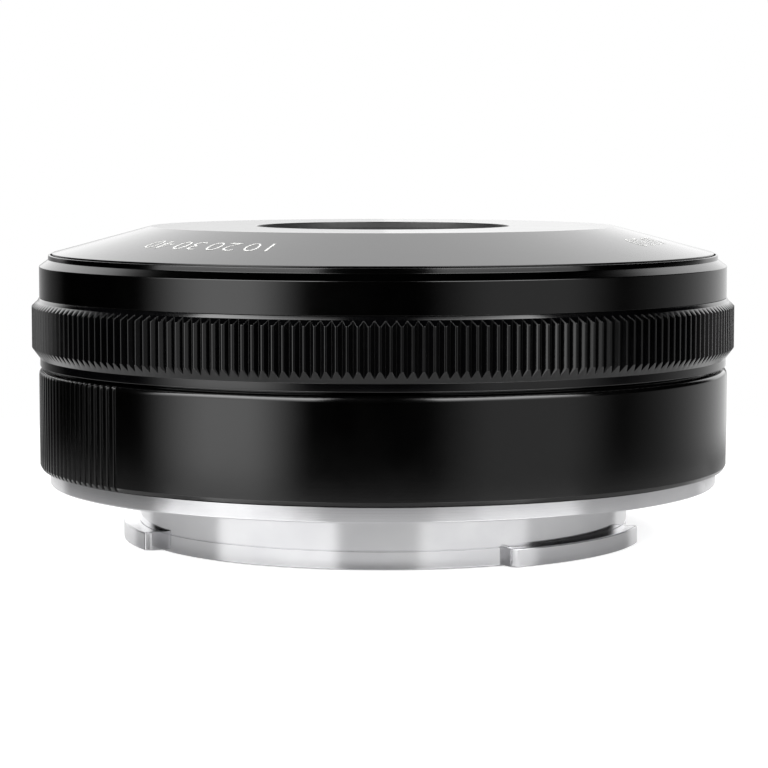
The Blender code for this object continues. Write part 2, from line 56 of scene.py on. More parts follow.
# The outside of the lens: radii first, then heights above the rear rim.
LUG_RADIUS = 23.0
TUBE_RADIUS = 21.6
TUBE_BORE = 19.6
FLANGE_RADIUS = 29.4
FOCUS_RADIUS = 30.3
KNURL_RADIUS = 30.9
FRONT_RADIUS = 30.23
LIP_RADIUS = 30.2
SKIRT_RADIUS = 28.7
SKIRT_BORE = 28.0
APERTURE_BORE = 27.45
BEZEL_RADIUS = 29.1
BEZEL_EDGE = 0.25
BEZEL_FLAT_RADIUS = 20.5
FRONT_HOLE_RADIUS = 11.1
LUG_TOP = 1.55
FLANGE_BACK = 4.9
FLANGE_FRONT = 6.2
FOCUS_BACK = 6.35
FOCUS_FRONT = 15.05
SKIRT_BACK = 11.5
KNURL_BACK = 15.3
LIP_TOP = 16.0
KNURL_FRONT = 21.26
FRONT_BARREL_BACK = 21.29
FRONT_BARREL_TOP = 24.97
CONE_BACK = 25.16
FRONT_TOP = 27.4

# The bayonet's lugs, in degrees. The step line is where the lugs' level meets the tube.
LUG_STARTS = (-62.3, 48.5, 161.6)
LUG_SPAN = 47
LUG_ROOT = 0.7
STEP_LINE = 0.06

# Finger grips: knurl teeth all the way round, and two patches of ribs on the focus ring.
TEETH = 227
TOOTH_DEPTH = 0.44
RIB_PITCH = math.radians(1.7)
RIB_DEPTH = 0.17
CHAMFER_DEPTH = 0.18
CHAMFER_HEIGHT = 0.32
RIB_PATCHES = ((math.radians(170), math.radians(224.4)), (math.radians(-10), math.radians(30)))

MOUNT_SCREW_CIRCLE = 25.6
MOUNT_SCREW_ANGLES = [math.radians(45 + 90 * k) for k in range(4)]
LOCK_PIN_CIRCLE = 25.4
LOCK_PIN_ANGLE = math.radians(15)
INDEX_ANGLE = math.radians(90)
INDEX_HEIGHT = 5.72
STOP_STEP = math.radians(8)
WIDE_OPEN_ANGLE = math.radians(66)


# ---------------------------------------------------------------- nodes

def node(tree, kind, inputs=None, **settings):
    """Add a shader node; each input is a value, or a socket to link from."""
    made = tree.nodes.new("ShaderNode" + kind)
    for key, value in settings.items():
        setattr(made, key, value)
    for key, value in (inputs or {}).items():
        if isinstance(value, bpy.types.NodeSocket):
            tree.links.new(value, made.inputs[key])
        else:
            made.inputs[key].default_value = value
    return made


def maths(tree, operation, first, second=0.0):
    """The result of one Math node."""
    return node(tree, "Math", {0: first, 1: second}, operation=operation).outputs[0]


def ramp(tree, value, start, end, low=0.0, high=1.0, kind="SMOOTHSTEP"):
    """A value that goes from low to high as the input goes from start to end."""
    inputs = {"Value": value, "From Min": start, "From Max": end, "To Min": low, "To Max": high}
    return node(tree, "MapRange", inputs, interpolation_type=kind).outputs["Result"]


def noise(tree, vector, scale, detail=2.0, roughness=0.5):
    """A noise value over a vector in metres."""
    inputs = {"Vector": vector, "Scale": scale, "Detail": detail, "Roughness": roughness}
    return node(tree, "TexNoise", inputs).outputs[0]


def blend_colours(tree, share, first, second):
    """Mix two colours by a value."""
    mixed = node(tree, "Mix", {"Factor": share}, data_type="RGBA")
    for socket, colour in ((mixed.inputs[6], first), (mixed.inputs[7], second)):
        if isinstance(colour, bpy.types.NodeSocket):
            tree.links.new(colour, socket)
        else:
            socket.default_value = (*colour, 1)
    return mixed.outputs[2]


def new_material(name):
    """An empty node material with a Principled shader: its tree, shader and object coordinates."""
    material = bpy.data.materials.new(name)
    material.use_nodes = True
    tree = material.node_tree
    shader = tree.nodes["Principled BSDF"]
    place = node(tree, "TexCoord").outputs["Object"]
    return material, tree, shader, place


def turned_place(tree, place):
    """Coordinates of (radius, height), in which noise makes the lines of a lathe."""
    parts = node(tree, "SeparateXYZ", {0: place}).outputs
    squares = maths(tree, "ADD", maths(tree, "POWER", parts[0], 2), maths(tree, "POWER", parts[1], 2))
    radius = maths(tree, "SQRT", squares)
    return node(tree, "CombineXYZ", {"X": radius, "Z": parts[2]}).outputs[0]


def bump(tree, shader, height, depth, strength=1.0):
    """Give the shader relief, depth metres from the lowest to the highest."""
    made = node(tree, "Bump", {"Height": height, "Distance": depth, "Strength": strength})
    tree.links.new(made.outputs[0], shader.inputs["Normal"])


def anodised(name, dark, light, roughness, relief=2e-6):
    """Black anodised aluminium: bead blasted and turned, with cloudy dye and faint lathe lines."""
    material, tree, shader, place = new_material(name)
    clouds = noise(tree, place, 260, 4, 0.6)
    grain = noise(tree, place, 6500, 2, 0.6)
    lines = noise(tree, turned_place(tree, place), 7000, 2, 0.7)
    tone = blend_colours(tree, ramp(tree, clouds, 0.3, 0.7), dark, light)
    tree.links.new(tone, shader.inputs["Base Color"])
    uneven = maths(tree, "ADD", clouds, maths(tree, "MULTIPLY", grain, 0.5))
    gloss = ramp(tree, uneven, 0.4, 1.1, roughness - 0.025, roughness + 0.025, "LINEAR")
    tree.links.new(gloss, shader.inputs["Roughness"])
    bump(tree, shader, maths(tree, "ADD", grain, lines), relief, 0.6)
    shader.inputs["IOR"].default_value = 1.5
    return material


def metal(name, dark, light, roughness, line_scale=9000, relief=1.2e-6):
    """Turned or plated metal, with fine lathe lines, smudges and rubbed patches."""
    material, tree, shader, place = new_material(name)
    smudges = noise(tree, place, 180, 5, 0.6)
    lines = noise(tree, turned_place(tree, place), line_scale, 3, 0.7)
    tone = blend_colours(tree, ramp(tree, smudges, 0.25, 0.75), dark, light)
    tree.links.new(tone, shader.inputs["Base Color"])
    uneven = maths(tree, "ADD", smudges, maths(tree, "MULTIPLY", lines, 0.6))
    gloss = ramp(tree, uneven, 0.4, 1.2, roughness - 0.03, roughness + 0.04, "LINEAR")
    tree.links.new(gloss, shader.inputs["Roughness"])
    bump(tree, shader, lines, relief, 0.5)
    shader.inputs["Metallic"].default_value = 1.0
    return material


def paint(name, dark, light, roughness, grain_scale=4000, relief=6e-6):
    """Paint or matt lacquer, with a fine orange peel."""
    material, tree, shader, place = new_material(name)
    clouds = noise(tree, place, 500, 3, 0.6)
    grain = noise(tree, place, grain_scale, 3, 0.6)
    tone = blend_colours(tree, ramp(tree, clouds, 0.3, 0.7), dark, light)
    tree.links.new(tone, shader.inputs["Base Color"])
    gloss = ramp(tree, grain, 0.3, 0.7, roughness - 0.05, roughness + 0.05, "LINEAR")
    tree.links.new(gloss, shader.inputs["Roughness"])
    bump(tree, shader, grain, relief, 0.7)
    return material


def glass(name, tint, coating):
    """Coated optical glass, with dust so fine that it only shows in the gloss."""
    material, tree, shader, place = new_material(name)
    dust = noise(tree, place, 3000, 4, 0.7)
    clouds = noise(tree, place, 120, 2, 0.5)
    whiter = [min(1.0, channel * 1.01) for channel in tint]
    tone = blend_colours(tree, clouds, tint, whiter)
    tree.links.new(tone, shader.inputs["Base Color"])
    gloss = ramp(tree, dust, 0.62, 0.8, 0.0, 0.05)
    tree.links.new(gloss, shader.inputs["Roughness"])
    shader.inputs["Transmission Weight"].default_value = 1.0
    shader.inputs["IOR"].default_value = 1.6
    shader.inputs["Thin Film Thickness"].default_value = coating
    shader.inputs["Thin Film IOR"].default_value = 1.38
    return material


ANODISED = anodised("black_anodised_finish", (0.0001,) * 3, (0.0003,) * 3, 0.13)
# A lighter copy of the black anodised finish for the rings' fillets: a painted highlight along their edges.
ANODISED_PAINTED_EDGE_HIGHLIGHT = anodised("black_anodised_painted_edge_highlight", (0.0004,) * 3, (0.0008,) * 3, 0.13)
KNURL_BLACK = anodised("black_anodised_knurl", (0.0003, 0.0003, 0.0004), (0.0007, 0.0007, 0.0009), 0.13)
MATT = paint("matt_black_lacquer", (0.012,) * 3, (0.022,) * 3, 0.62)
WELL_BLACK = paint("matt_well_lacquer", (0.006,) * 3, (0.011,) * 3, 0.6)
SILVER = metal("satin_chrome_plate", (0.60, 0.60, 0.615), (0.68, 0.68, 0.69), 0.12)
STEEL = metal("bright_screw_steel", (0.50, 0.50, 0.51), (0.62, 0.62, 0.62), 0.2)
BLADE = metal("blued_blade_steel", (0.035, 0.038, 0.048), (0.06, 0.065, 0.08), 0.32, 5000)
BRASS = metal("turned_cam_brass", (0.62, 0.43, 0.16), (0.74, 0.54, 0.22), 0.22, 6000)
WHITE = paint("white_scale_paint", (0.66, 0.66, 0.64), (0.78, 0.78, 0.76), 0.45)
RED = paint("red_index_paint", (0.42, 0.012, 0.010), (0.52, 0.020, 0.015), 0.3)
FRONT_GLASS = glass("front_glass_coating", (0.985, 0.99, 0.985), 115.0)
INNER_GLASS = glass("inner_glass_coating", (0.99, 0.985, 0.99), 95.0)

SLOT_FINISHES = {
    "satin_chrome": SILVER,
    "black_anodised": ANODISED,
    "matt_black": MATT,
    "turned_brass": BRASS,
    "blackened_steel": BLADE,
    "bright_steel": STEEL,
    "coated_glass": INNER_GLASS,
    "red_paint": RED,
}


# ---------------------------------------------------------------- shapes

def soften(outline):
    """Round the corners of a closed outline of (radius, height, fillet).

    Returns the points, and for each stretch to the next point whether it is part of a fillet.
    """
    points = []
    in_fillet = []
    for index, (radius, height, fillet) in enumerate(outline):
        corner = Vector((radius, height))
        if not fillet:
            points.append(corner)
            in_fillet.append(False)
            continue
        back = Vector(outline[index - 1][:2]) - corner
        ahead = Vector(outline[(index + 1) % len(outline)][:2]) - corner
        reach = min(fillet / math.tan(back.angle(ahead) / 2), 0.45 * back.length, 0.45 * ahead.length)
        start = corner + back.normalized() * reach
        end = corner + ahead.normalized() * reach
        for step in range(FILLET_STEPS + 1):
            share = step / FILLET_STEPS
            curve = start * (1 - share) ** 2 + corner * 2 * share * (1 - share) + end * share ** 2
            points.append(curve)
            in_fillet.append(step < FILLET_STEPS)
    return points, in_fillet


def add_loft(bm, columns, edge_index=0):
    """Skin a closed ring of (angle, outline) columns; fillets get the edge's material."""
    rings = []
    for angle, outline in columns:
        points, in_fillet = soften(outline)
        across = Vector((math.cos(angle), math.sin(angle), 0))
        ring = [bm.verts.new((across * p.x + Vector((0, 0, p.y))) * MM) for p in points]
        rings.append(ring)
    size = len(rings[0])
    for ring, following in zip(rings, rings[1:] + rings[:1]):
        for i in range(size):
            j = (i + 1) % size
            face = bm.faces.new((ring[i], following[i], following[j], ring[j]))
            face.smooth = True
            face.material_index = edge_index if in_fillet[i] else 0


def even_columns(outline, count=RING_COLUMNS):
    """The same outline at evenly spaced angles."""
    return [(math.tau * i / count, outline) for i in range(count)]


def place_on_axis(angle, radius, height):
    """A placement whose Z points out along a radius, and whose Y points up."""
    lying = Matrix.Rotation(math.radians(90), 4, "X").to_3x3()
    outward = Matrix.Rotation(angle + math.radians(90), 3, "Z") @ lying
    place = outward.to_4x4()
    place.translation = Vector((radius * math.cos(angle), radius * math.sin(angle), height)) * MM
    return place


def place_on_circle(angle, radius):
    """A placement on a circle round the optical axis, with its Z along the axis."""
    return Matrix.Rotation(angle, 4, "Z") @ Matrix.Translation((radius * MM, 0, 0))


def make_piece(name, bm, materials, body, stands_for=()):
    """Finish a mesh: merge poles, shade it, and hang it on its CAD body."""
    bmesh.ops.remove_doubles(bm, verts=bm.verts, dist=1e-8)
    bmesh.ops.dissolve_degenerate(bm, edges=bm.edges, dist=1e-8)
    bmesh.ops.recalc_face_normals(bm, faces=bm.faces)
    mesh = bpy.data.meshes.new(name)
    bm.to_mesh(mesh)
    bm.free()
    for material in materials:
        mesh.materials.append(material)
    piece = bpy.data.objects.new(name, mesh)
    bpy.context.scene.collection.objects.link(piece)
    shade(piece)
    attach(piece, body)
    if stands_for:
        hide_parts(*stands_for)
    return piece


def shade(piece):
    """Smooth faces with sharp corners, and flat normals kept beside small fillets."""
    for polygon in piece.data.polygons:
        polygon.use_smooth = True
    piece.data.set_sharp_from_angle(angle=SHARP_ANGLE)
    if "weighted_normals" not in piece.modifiers:
        modifier = piece.modifiers.new("weighted_normals", "WEIGHTED_NORMAL")
        modifier.keep_sharp = True


def cut(piece, tool_bm):
    """Cut a piece with a closed tool."""
    bmesh.ops.recalc_face_normals(tool_bm, faces=tool_bm.faces)
    tool_mesh = bpy.data.meshes.new("tool")
    tool_bm.to_mesh(tool_mesh)
    tool_bm.free()
    tool_mesh.materials.append(piece.data.materials[0])
    tool = bpy.data.objects.new("tool", tool_mesh)
    bpy.context.scene.collection.objects.link(tool)
    piece.modifiers.clear()
    modifier = piece.modifiers.new("cut", "BOOLEAN")
    modifier.operation = "DIFFERENCE"
    modifier.solver = "EXACT"
    modifier.object = tool
    depsgraph = bpy.context.evaluated_depsgraph_get()
    result = bpy.data.meshes.new_from_object(piece.evaluated_get(depsgraph))
    piece.modifiers.clear()
    piece.data = result
    bpy.data.objects.remove(tool)
    shade(piece)


def add_rod(bm, radius, low, high, place, columns=32):
    """A closed rod along the placement's Z; sizes in millimetres."""
    rims = []
    for height in (low, high):
        rim = []
        for i in range(columns):
            angle = math.tau * i / columns
            point = Vector((radius * math.cos(angle), radius * math.sin(angle), height)) * MM
            rim.append(bm.verts.new(place @ point))
        rims.append(rim)
    bm.faces.new(rims[0])
    bm.faces.new(rims[1])
    for i in range(columns):
        j = (i + 1) % columns
        bm.faces.new((rims[0][i], rims[0][j], rims[1][j], rims[1][i]))


def add_box(bm, low, high, place):
    """A closed block between two corners, in millimetres."""
    corners = []
    for x in (low[0], high[0]):
        for y in (low[1], high[1]):
            for z in (low[2], high[2]):
                corners.append(bm.verts.new(place @ (Vector((x, y, z)) * MM)))
    for quad in ((0, 1, 3, 2), (4, 6, 7, 5), (0, 4, 5, 1), (2, 3, 7, 6), (0, 2, 6, 4), (1, 5, 7, 3)):
        bm.faces.new([corners[i] for i in quad])


def add_lug(bm, start, end, inner, outer, low, high, fillet=0.12, corner=0.5, steps=48):
    """A curved block with softened edges and chamfered ends, from one angle to another."""
    reach = corner / outer
    stations = [(start, corner), (start + reach, 0.0)]
    for i in range(1, steps):
        stations.append((start + (end - start) * i / steps, 0.0))
    stations += [(end - reach, 0.0), (end, corner)]
    rows = []
    for angle, inset in stations:
        outline = [(inner, low, 0), (outer - inset, low, fillet),
                   (outer - inset, high, fillet), (inner, high, 0)]
        points, _ = soften(outline)
        across = Vector((math.cos(angle), math.sin(angle), 0))
        rows.append([bm.verts.new((across * p.x + Vector((0, 0, p.y))) * MM) for p in points])
    for row, following in zip(rows, rows[1:]):
        for i in range(len(row)):
            j = (i + 1) % len(row)
            bm.faces.new((row[i], following[i], following[j], row[j]))
    bm.faces.new(rows[0])
    bm.faces.new(rows[-1])


# ---------------------------------------------------------------- the mount

def chrome_bayonet():
    """The bayonet: flange, tube with a fine step line, and three lugs."""
    outline = [
        (TUBE_BORE, 0, 0.1), (TUBE_RADIUS, 0, 0.14), (TUBE_RADIUS, LUG_TOP - STEP_LINE, 0.02),
        (TUBE_RADIUS - STEP_LINE, LUG_TOP - STEP_LINE / 2, 0),
        (TUBE_RADIUS - STEP_LINE, LUG_TOP + STEP_LINE / 2, 0),
        (TUBE_RADIUS, LUG_TOP + STEP_LINE, 0.02), (TUBE_RADIUS, FLANGE_BACK - 0.25, 0.05),
        (TUBE_RADIUS - 0.2, FLANGE_BACK - 0.15, 0.05), (TUBE_RADIUS - 0.2, FLANGE_BACK, 0.0),
        (FLANGE_RADIUS - 0.08, FLANGE_BACK + 0.02, 0.05), (FLANGE_RADIUS, FLANGE_BACK + 0.12, 0.05),
        (FLANGE_RADIUS, FLANGE_FRONT, 0.05), (TUBE_BORE, FLANGE_FRONT, 0.05),
    ]
    bm = bmesh.new()
    add_loft(bm, even_columns(outline))
    piece = make_piece("chrome_bayonet", bm, [SILVER], "mount", ["bayonet_mount"])

    holes = bmesh.new()
    for angle in MOUNT_SCREW_ANGLES:
        place = place_on_circle(angle, MOUNT_SCREW_CIRCLE)
        add_rod(holes, 1.5, 4.0, 5.05, place)
        add_rod(holes, 0.8, 4.5, 7.0, place)
    add_rod(holes, 1.15, 4.0, 5.9, place_on_circle(LOCK_PIN_ANGLE, LOCK_PIN_CIRCLE))
    dot_place = place_on_axis(INDEX_ANGLE, 0, INDEX_HEIGHT)
    add_rod(holes, 0.42, 28.6, 30.0, dot_place)
    cut(piece, holes)
    add_lugs(piece)


def add_lugs(piece):
    """Set the three lugs into the tube's wall."""
    bm = bmesh.new()
    bm.from_mesh(piece.data)
    tube_faces = set(bm.faces)
    for start in LUG_STARTS:
        ends = (math.radians(start), math.radians(start + LUG_SPAN))
        add_lug(bm, *ends, TUBE_RADIUS - LUG_ROOT, LUG_RADIUS, 0.01, LUG_TOP)
    bmesh.ops.recalc_face_normals(bm, faces=[face for face in bm.faces if face not in tube_faces])
    bm.to_mesh(piece.data)
    bm.free()
    shade(piece)


def mount_screws():
    """Countersunk screws with a cross recess, seen from behind the lens."""
    for number, angle in enumerate(MOUNT_SCREW_ANGLES, 1):
        outline = [(0, 4.96, 0), (1.2, 4.95, 0.05), (1.42, 5.02, 0.04), (0.7, 5.7, 0.05),
                   (0.6, 7.4, 0.05), (0, 7.5, 0)]
        bm = bmesh.new()
        add_loft(bm, even_columns(outline, SCREW_COLUMNS))
        place = place_on_circle(angle, MOUNT_SCREW_CIRCLE)
        bmesh.ops.transform(bm, matrix=place, verts=bm.verts)
        name = f"countersunk_mount_screw_{number}"
        piece = make_piece(name, bm, [STEEL], "mount", [f"mount_screw_{number}"])
        for quarter in (0, 90):
            recess = bmesh.new()
            turn = Matrix.Rotation(math.radians(quarter + 20 * number), 4, "Z")
            add_box(recess, (-0.72, -0.16, 4.8), (0.72, 0.16, 5.45), place @ turn)
            cut(piece, recess)


def red_index_dot():
    """The domed red dot on the flange's rim."""
    outline = [(0, 28.7, 0), (0.4, 28.7, 0), (0.4, 29.05, 0.05), (0.2, 29.13, 0.1), (0, 29.14, 0)]
    bm = bmesh.new()
    add_loft(bm, even_columns(outline, 32))
    bmesh.ops.transform(bm, matrix=place_on_axis(INDEX_ANGLE, 0, INDEX_HEIGHT), verts=bm.verts)
    make_piece("red_index_dot", bm, [RED], "mount", ["mount_index_dot"])


def rear_light_baffle():
    """The black dish in the tube, with fine steps against stray light."""
    outline = [(9.0, 4.3, 0.05), (17.9, 4.3, 0.1)]
    for step in range(4):
        height = 3.9 - 0.85 * step
        outline += [(18.4, height, 0.03), (18.15, height - 0.3, 0.03), (18.4, height - 0.5, 0.03)]
    outline += [(18.4, 0.5, 0.08), (19.4, 0.5, 0.08), (19.4, 4.9, 0.05), (9.0, 4.9, 0.05)]
    bm = bmesh.new()
    add_loft(bm, even_columns(outline))
    make_piece("rear_light_baffle", bm, [MATT], "mount", ["rear_baffle"])


# ---------------------------------------------------------------- the rings

def rib_columns():
    """Angles round the focus ring, each with how deep the ring is cut there."""
    across_rib = ((0.0, 0.0), (0.4, 0.0), (0.48, 1.0), (0.92, 1.0))
    marks = []
    for start, end in RIB_PATCHES:
        count = round((end - start) / RIB_PITCH)
        for rib in range(count):
            for share, depth in across_rib:
                marks.append((start + (rib + share + 0.05) * RIB_PITCH, depth * RIB_DEPTH))
        marks.append((start + count * RIB_PITCH, 0.0))
    spacing = math.tau / RING_COLUMNS
    for i in range(RING_COLUMNS):
        angle = i * spacing
        clear = all(not (start - spacing / 2 < angle + turn < end + spacing / 2)
                    for start, end in RIB_PATCHES for turn in (0, -math.tau, math.tau))
        if clear:
            marks.append((angle, 0.0))
    return sorted((angle % math.tau, depth) for angle, depth in marks)


def ribbed_focus_ring():
    """The broad lower ring, with two patches of ribs that run out on its chamfers."""
    columns = []
    for angle, depth in rib_columns():
        radius = FOCUS_RADIUS - depth
        chamfer_back = FOCUS_BACK + CHAMFER_HEIGHT * (1 - depth / CHAMFER_DEPTH)
        outline = [
            (27.2, FOCUS_BACK, 0.05), (FOCUS_RADIUS - CHAMFER_DEPTH, FOCUS_BACK, 0),
            (radius, chamfer_back, 0.04), (radius, FOCUS_FRONT, 0.52), (29.1, FOCUS_FRONT, 0.06),
            (29.1, 9.9, 0), (27.2, 9.9, 0),
        ]
        columns.append((angle, outline))
    bm = bmesh.new()
    add_loft(bm, columns, 1)
    finishes = [ANODISED, ANODISED_PAINTED_EDGE_HIGHLIGHT]
    make_piece("ribbed_focus_ring", bm, finishes, "focus", ["focus_ring"])


def knurled_aperture_ring():
    """The knurled ring: V grooves between narrow crests, chamfered at both ends."""
    pitch = math.tau / TEETH
    across_tooth = ((-0.075, 0.0), (0.075, 0.0), (0.12, 0.05), (0.465, 0.97), (0.5, 1.0), (0.535, 0.97),
                    (0.88, 0.05))
    columns = []
    for tooth in range(TEETH):
        for share, depth in across_tooth:
            radius = KNURL_RADIUS - depth * TOOTH_DEPTH
            back = LIP_TOP + (radius - LIP_RADIUS) / 0.7 * 0.95
            front = 20.96 - (radius - 30.42) / 0.48 * 0.46
            outline = [
                (APERTURE_BORE, KNURL_BACK, 0), (SKIRT_BORE, KNURL_BACK, 0), (SKIRT_BORE, SKIRT_BACK, 0),
                (SKIRT_RADIUS, SKIRT_BACK, 0), (SKIRT_RADIUS, KNURL_BACK, 0),
                (LIP_RADIUS, KNURL_BACK, 0.08), (LIP_RADIUS, LIP_TOP, 0.06),
                (radius, back, 0.05), (radius, front, 0.05), (30.41, 20.97, 0.05),
                (30.24, KNURL_FRONT, 0.04), (APERTURE_BORE, KNURL_FRONT, 0.05),
            ]
            columns.append(((tooth + share) * pitch, outline))
    bm = bmesh.new()
    add_loft(bm, columns, 1)
    finishes = [KNURL_BLACK, ANODISED_PAINTED_EDGE_HIGHLIGHT]
    make_piece("knurled_aperture_ring", bm, finishes, "aperture", ["aperture_ring"])


def smooth_front_ring():
    """The smooth ring above the knurl, with a crisp chamfer towards the cone."""
    outline = [
        (24.9, FRONT_BARREL_BACK, 0.05), (FRONT_RADIUS, FRONT_BARREL_BACK, 0.03),
        (FRONT_RADIUS, 23.98, 0.1), (29.45, 24.55, 0.06), (29.42, FRONT_BARREL_TOP, 0.07),
        (29.25, FRONT_BARREL_TOP, 0.04), (29.25, 22.6, 0), (24.9, 22.6, 0),
    ]
    bm = bmesh.new()
    add_loft(bm, even_columns(outline, FINE_COLUMNS), 1)
    finishes = [ANODISED, ANODISED_PAINTED_EDGE_HIGHLIGHT]
    make_piece("smooth_front_ring", bm, finishes, "optical_unit", ["front_barrel"])


def cone_bezel():
    """The cone, its flat front ring and the dark well round the glass."""
    outline = [
        (BEZEL_RADIUS, 23.5, 0), (BEZEL_RADIUS, CONE_BACK - 0.06, 0.05),
        (BEZEL_RADIUS - BEZEL_EDGE, CONE_BACK, 0.05),
        (BEZEL_FLAT_RADIUS, FRONT_TOP, 0.25), (FRONT_HOLE_RADIUS + 0.1, FRONT_TOP, 0.09),
        (FRONT_HOLE_RADIUS - 0.05, FRONT_TOP - 0.5, 0.05), (10.85, 24.6, 0.04), (10.7, 24.5, 0.04),
        (10.7, 22.8, 0.04), (11.7, 22.8, 0), (12.1, 26.4, 0), (20.3, 26.4, 0),
        (27.9, 24.17, 0), (27.9, 23.5, 0),
    ]
    bm = bmesh.new()
    add_loft(bm, even_columns(outline, FINE_COLUMNS), 1)
    for face in bm.faces:
        middle = face.calc_center_median() / MM
        if middle.xy.length < FRONT_HOLE_RADIUS + 0.02:
            face.material_index = 2
    finishes = [ANODISED, ANODISED_PAINTED_EDGE_HIGHLIGHT, WELL_BLACK]
    make_piece("cone_bezel", bm, finishes, "optical_unit", ["front_bezel"])


# ---------------------------------------------------------------- the optics

def lens_outline(rim, front_rim, front_bend, back_rim, back_bend, steps=14):
    """A glass element from two spherical faces; a positive bend bulges away from the other face."""
    def face(rim_height, bend, outward):
        sag = abs(bend) - math.sqrt(bend * bend - rim * rim)
        sign = outward if bend > 0 else -outward
        points = []
        for i in range(steps + 1):
            radius = rim * i / steps
            drop = abs(bend) - math.sqrt(bend * bend - radius * radius)
            points.append((radius, rim_height + sign * (sag - drop), 0))
        return points
    front = face(front_rim, front_bend, 1)
    back = face(back_rim, back_bend, -1)
    return back + front[::-1]


def glass_elements():
    """The five elements, with smooth spherical faces."""
    elements = (
        ("front_element", 9.8, 20.6, 24, 19.4, -40, FRONT_GLASS),
        ("second_element", 8.9, 18.55, 60, 17.4, -34, INNER_GLASS),
        ("doublet_front_element", 7.9, 11.3, 20, 10.8, 30, INNER_GLASS),
        ("doublet_rear_element", 7.9, 10.7, -30, 8.4, -60, INNER_GLASS),
        ("rear_element", 9.0, 7.0, 40, 6.4, 26, FRONT_GLASS),
    )
    for name, rim, front_rim, front_bend, back_rim, back_bend, material in elements:
        bm = bmesh.new()
        outline = lens_outline(rim, front_rim, front_bend, back_rim, back_bend)
        add_loft(bm, even_columns(outline, GLASS_COLUMNS))
        piece = make_piece("ground_" + name, bm, [material], "optical_unit", [name])
        piece.modifiers.clear()


def ring_piece(name, outline, material, stands_for, slots=0):
    """A turned ring of the optical unit, with notches for a spanner if it is a screwed one."""
    bm = bmesh.new()
    add_loft(bm, even_columns(outline, CELL_COLUMNS))
    piece = make_piece(name, bm, [material], "optical_unit", [stands_for])
    if slots:
        notches = bmesh.new()
        inner = min(point[0] for point in outline)
        outer = max(point[0] for point in outline)
        top = max(point[1] for point in outline)
        for k in range(slots):
            turn = Matrix.Rotation(math.tau * k / slots, 4, "Z")
            low, high = (inner - 0.2, -0.35, top - 0.35), (outer - 0.2, 0.35, top + 0.3)
            add_box(notches, low, high, turn)
        cut(piece, notches)


def cells_and_rings():
    """The turned cells and the slotted rings that hold the glass."""
    front_cell = [(8.0, 16.65, 0.05), (12.9, 16.65, 0.1), (12.9, 20.3, 0), (15.2, 20.3, 0.1),
                  (15.2, 21.7, 0.1), (12.9, 21.7, 0.03), (12.9, 22.6, 0.08)]
    for step in range(3):
        height = 22.6 - 0.1 * step
        front_cell += [(11.6 - 0.55 * step, height, 0.02), (11.3 - 0.55 * step, height - 0.1, 0.02)]
    front_cell += [(10.0, 22.3, 0.05), (10.0, 19.2, 0), (9.1, 19.2, 0), (9.1, 17.2, 0), (8.0, 17.2, 0.05)]
    ring_piece("turned_front_cell", front_cell, MATT, "front_cell")
    ring = [(9.0, 21.15, 0.05), (9.85, 21.15, 0.05), (9.85, 22.3, 0.05), (9.3, 22.3, 0.1)]
    ring_piece("slotted_front_retaining_ring", ring, ANODISED, "front_retaining_ring", 2)
    rear_cell = [(9.2, 5.1, 0.08), (10.2, 5.1, 0.1), (10.2, 10.9, 0), (11.6, 10.9, 0.1),
                 (11.6, 12.05, 0.1), (10.2, 12.05, 0), (10.2, 13.1, 0.05), (6.8, 13.1, 0.05),
                 (6.8, 12.5, 0.05), (8.1, 12.5, 0), (8.1, 8.0, 0), (9.2, 8.0, 0)]
    ring_piece("turned_rear_cell", rear_cell, MATT, "rear_cell")
    ring = [(8.3, 5.35, 0.08), (8.6, 5.25, 0.05), (9.05, 5.25, 0.05), (9.05, 5.85, 0.03), (8.3, 5.85, 0.03)]
    ring_piece("slotted_rear_retaining_ring", ring, ANODISED, "rear_retaining_ring")


def dress_cad_nodes():
    """The CAD nodes that stay get the finish of their slot and slightly softened edges."""
    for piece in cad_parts.values():
        if piece.hide_render:
            continue
        for index, material in enumerate(piece.data.materials):
            label = material.name.split(".")[0]
            piece.data.materials[index] = SLOT_FINISHES.get(label, MATT)
        modifier = piece.modifiers.new("soft_edges", "BEVEL")
        modifier.width = SOFT_EDGE * MM
        modifier.segments = 2
        modifier.limit_method = "ANGLE"
        modifier.angle_limit = math.radians(35)
        modifier.harden_normals = True


# ---------------------------------------------------------------- numbers and marks

def text_mesh(words, size, thinned=0.0):
    """A flat mesh of one line of generic numbers, centred, in millimetres."""
    curve = bpy.data.curves.new("numbers", "FONT")
    curve.body = words
    curve.size = size
    curve.align_x = "CENTER"
    curve.align_y = "CENTER"
    curve.resolution_u = 3
    curve.offset = -thinned
    holder = bpy.data.objects.new("numbers", curve)
    bpy.context.scene.collection.objects.link(holder)
    depsgraph = bpy.context.evaluated_depsgraph_get()
    mesh = bpy.data.meshes.new_from_object(holder.evaluated_get(depsgraph))
    bpy.data.objects.remove(holder)
    return mesh


def on_cylinder(radius, lift=0.012):
    """A bend that lays flat points onto a cylinder: x runs round it and y runs up it."""
    def bend(x, y, angle, height):
        turned = angle + x / radius
        out = radius + lift
        return Vector((out * math.cos(turned), out * math.sin(turned), height + y))
    return bend


def on_cone(lift=0.012):
    """A bend onto the bezel's cone: x runs round it, and y runs up the slope to the front."""
    rise = FRONT_TOP - CONE_BACK
    run = BEZEL_RADIUS - BEZEL_EDGE - BEZEL_FLAT_RADIUS
    slope = math.atan2(rise, run)

    def bend(x, y, angle, radius):
        r = radius - y * math.cos(slope)
        turned = angle + x / radius
        z = FRONT_TOP - (r - BEZEL_FLAT_RADIUS) / run * rise + lift
        return Vector((r * math.cos(turned), r * math.sin(turned), z))
    return bend


def add_flat(bm, mesh, bend, angle, base, flip=1):
    """Lay a flat mesh onto a surface; flip is -1 where it reads upside down."""
    points = [bm.verts.new(bend(flip * v.co.x, flip * v.co.y, angle, base) * MM) for v in mesh.vertices]
    for polygon in mesh.polygons:
        bm.faces.new([points[i] for i in polygon.vertices])


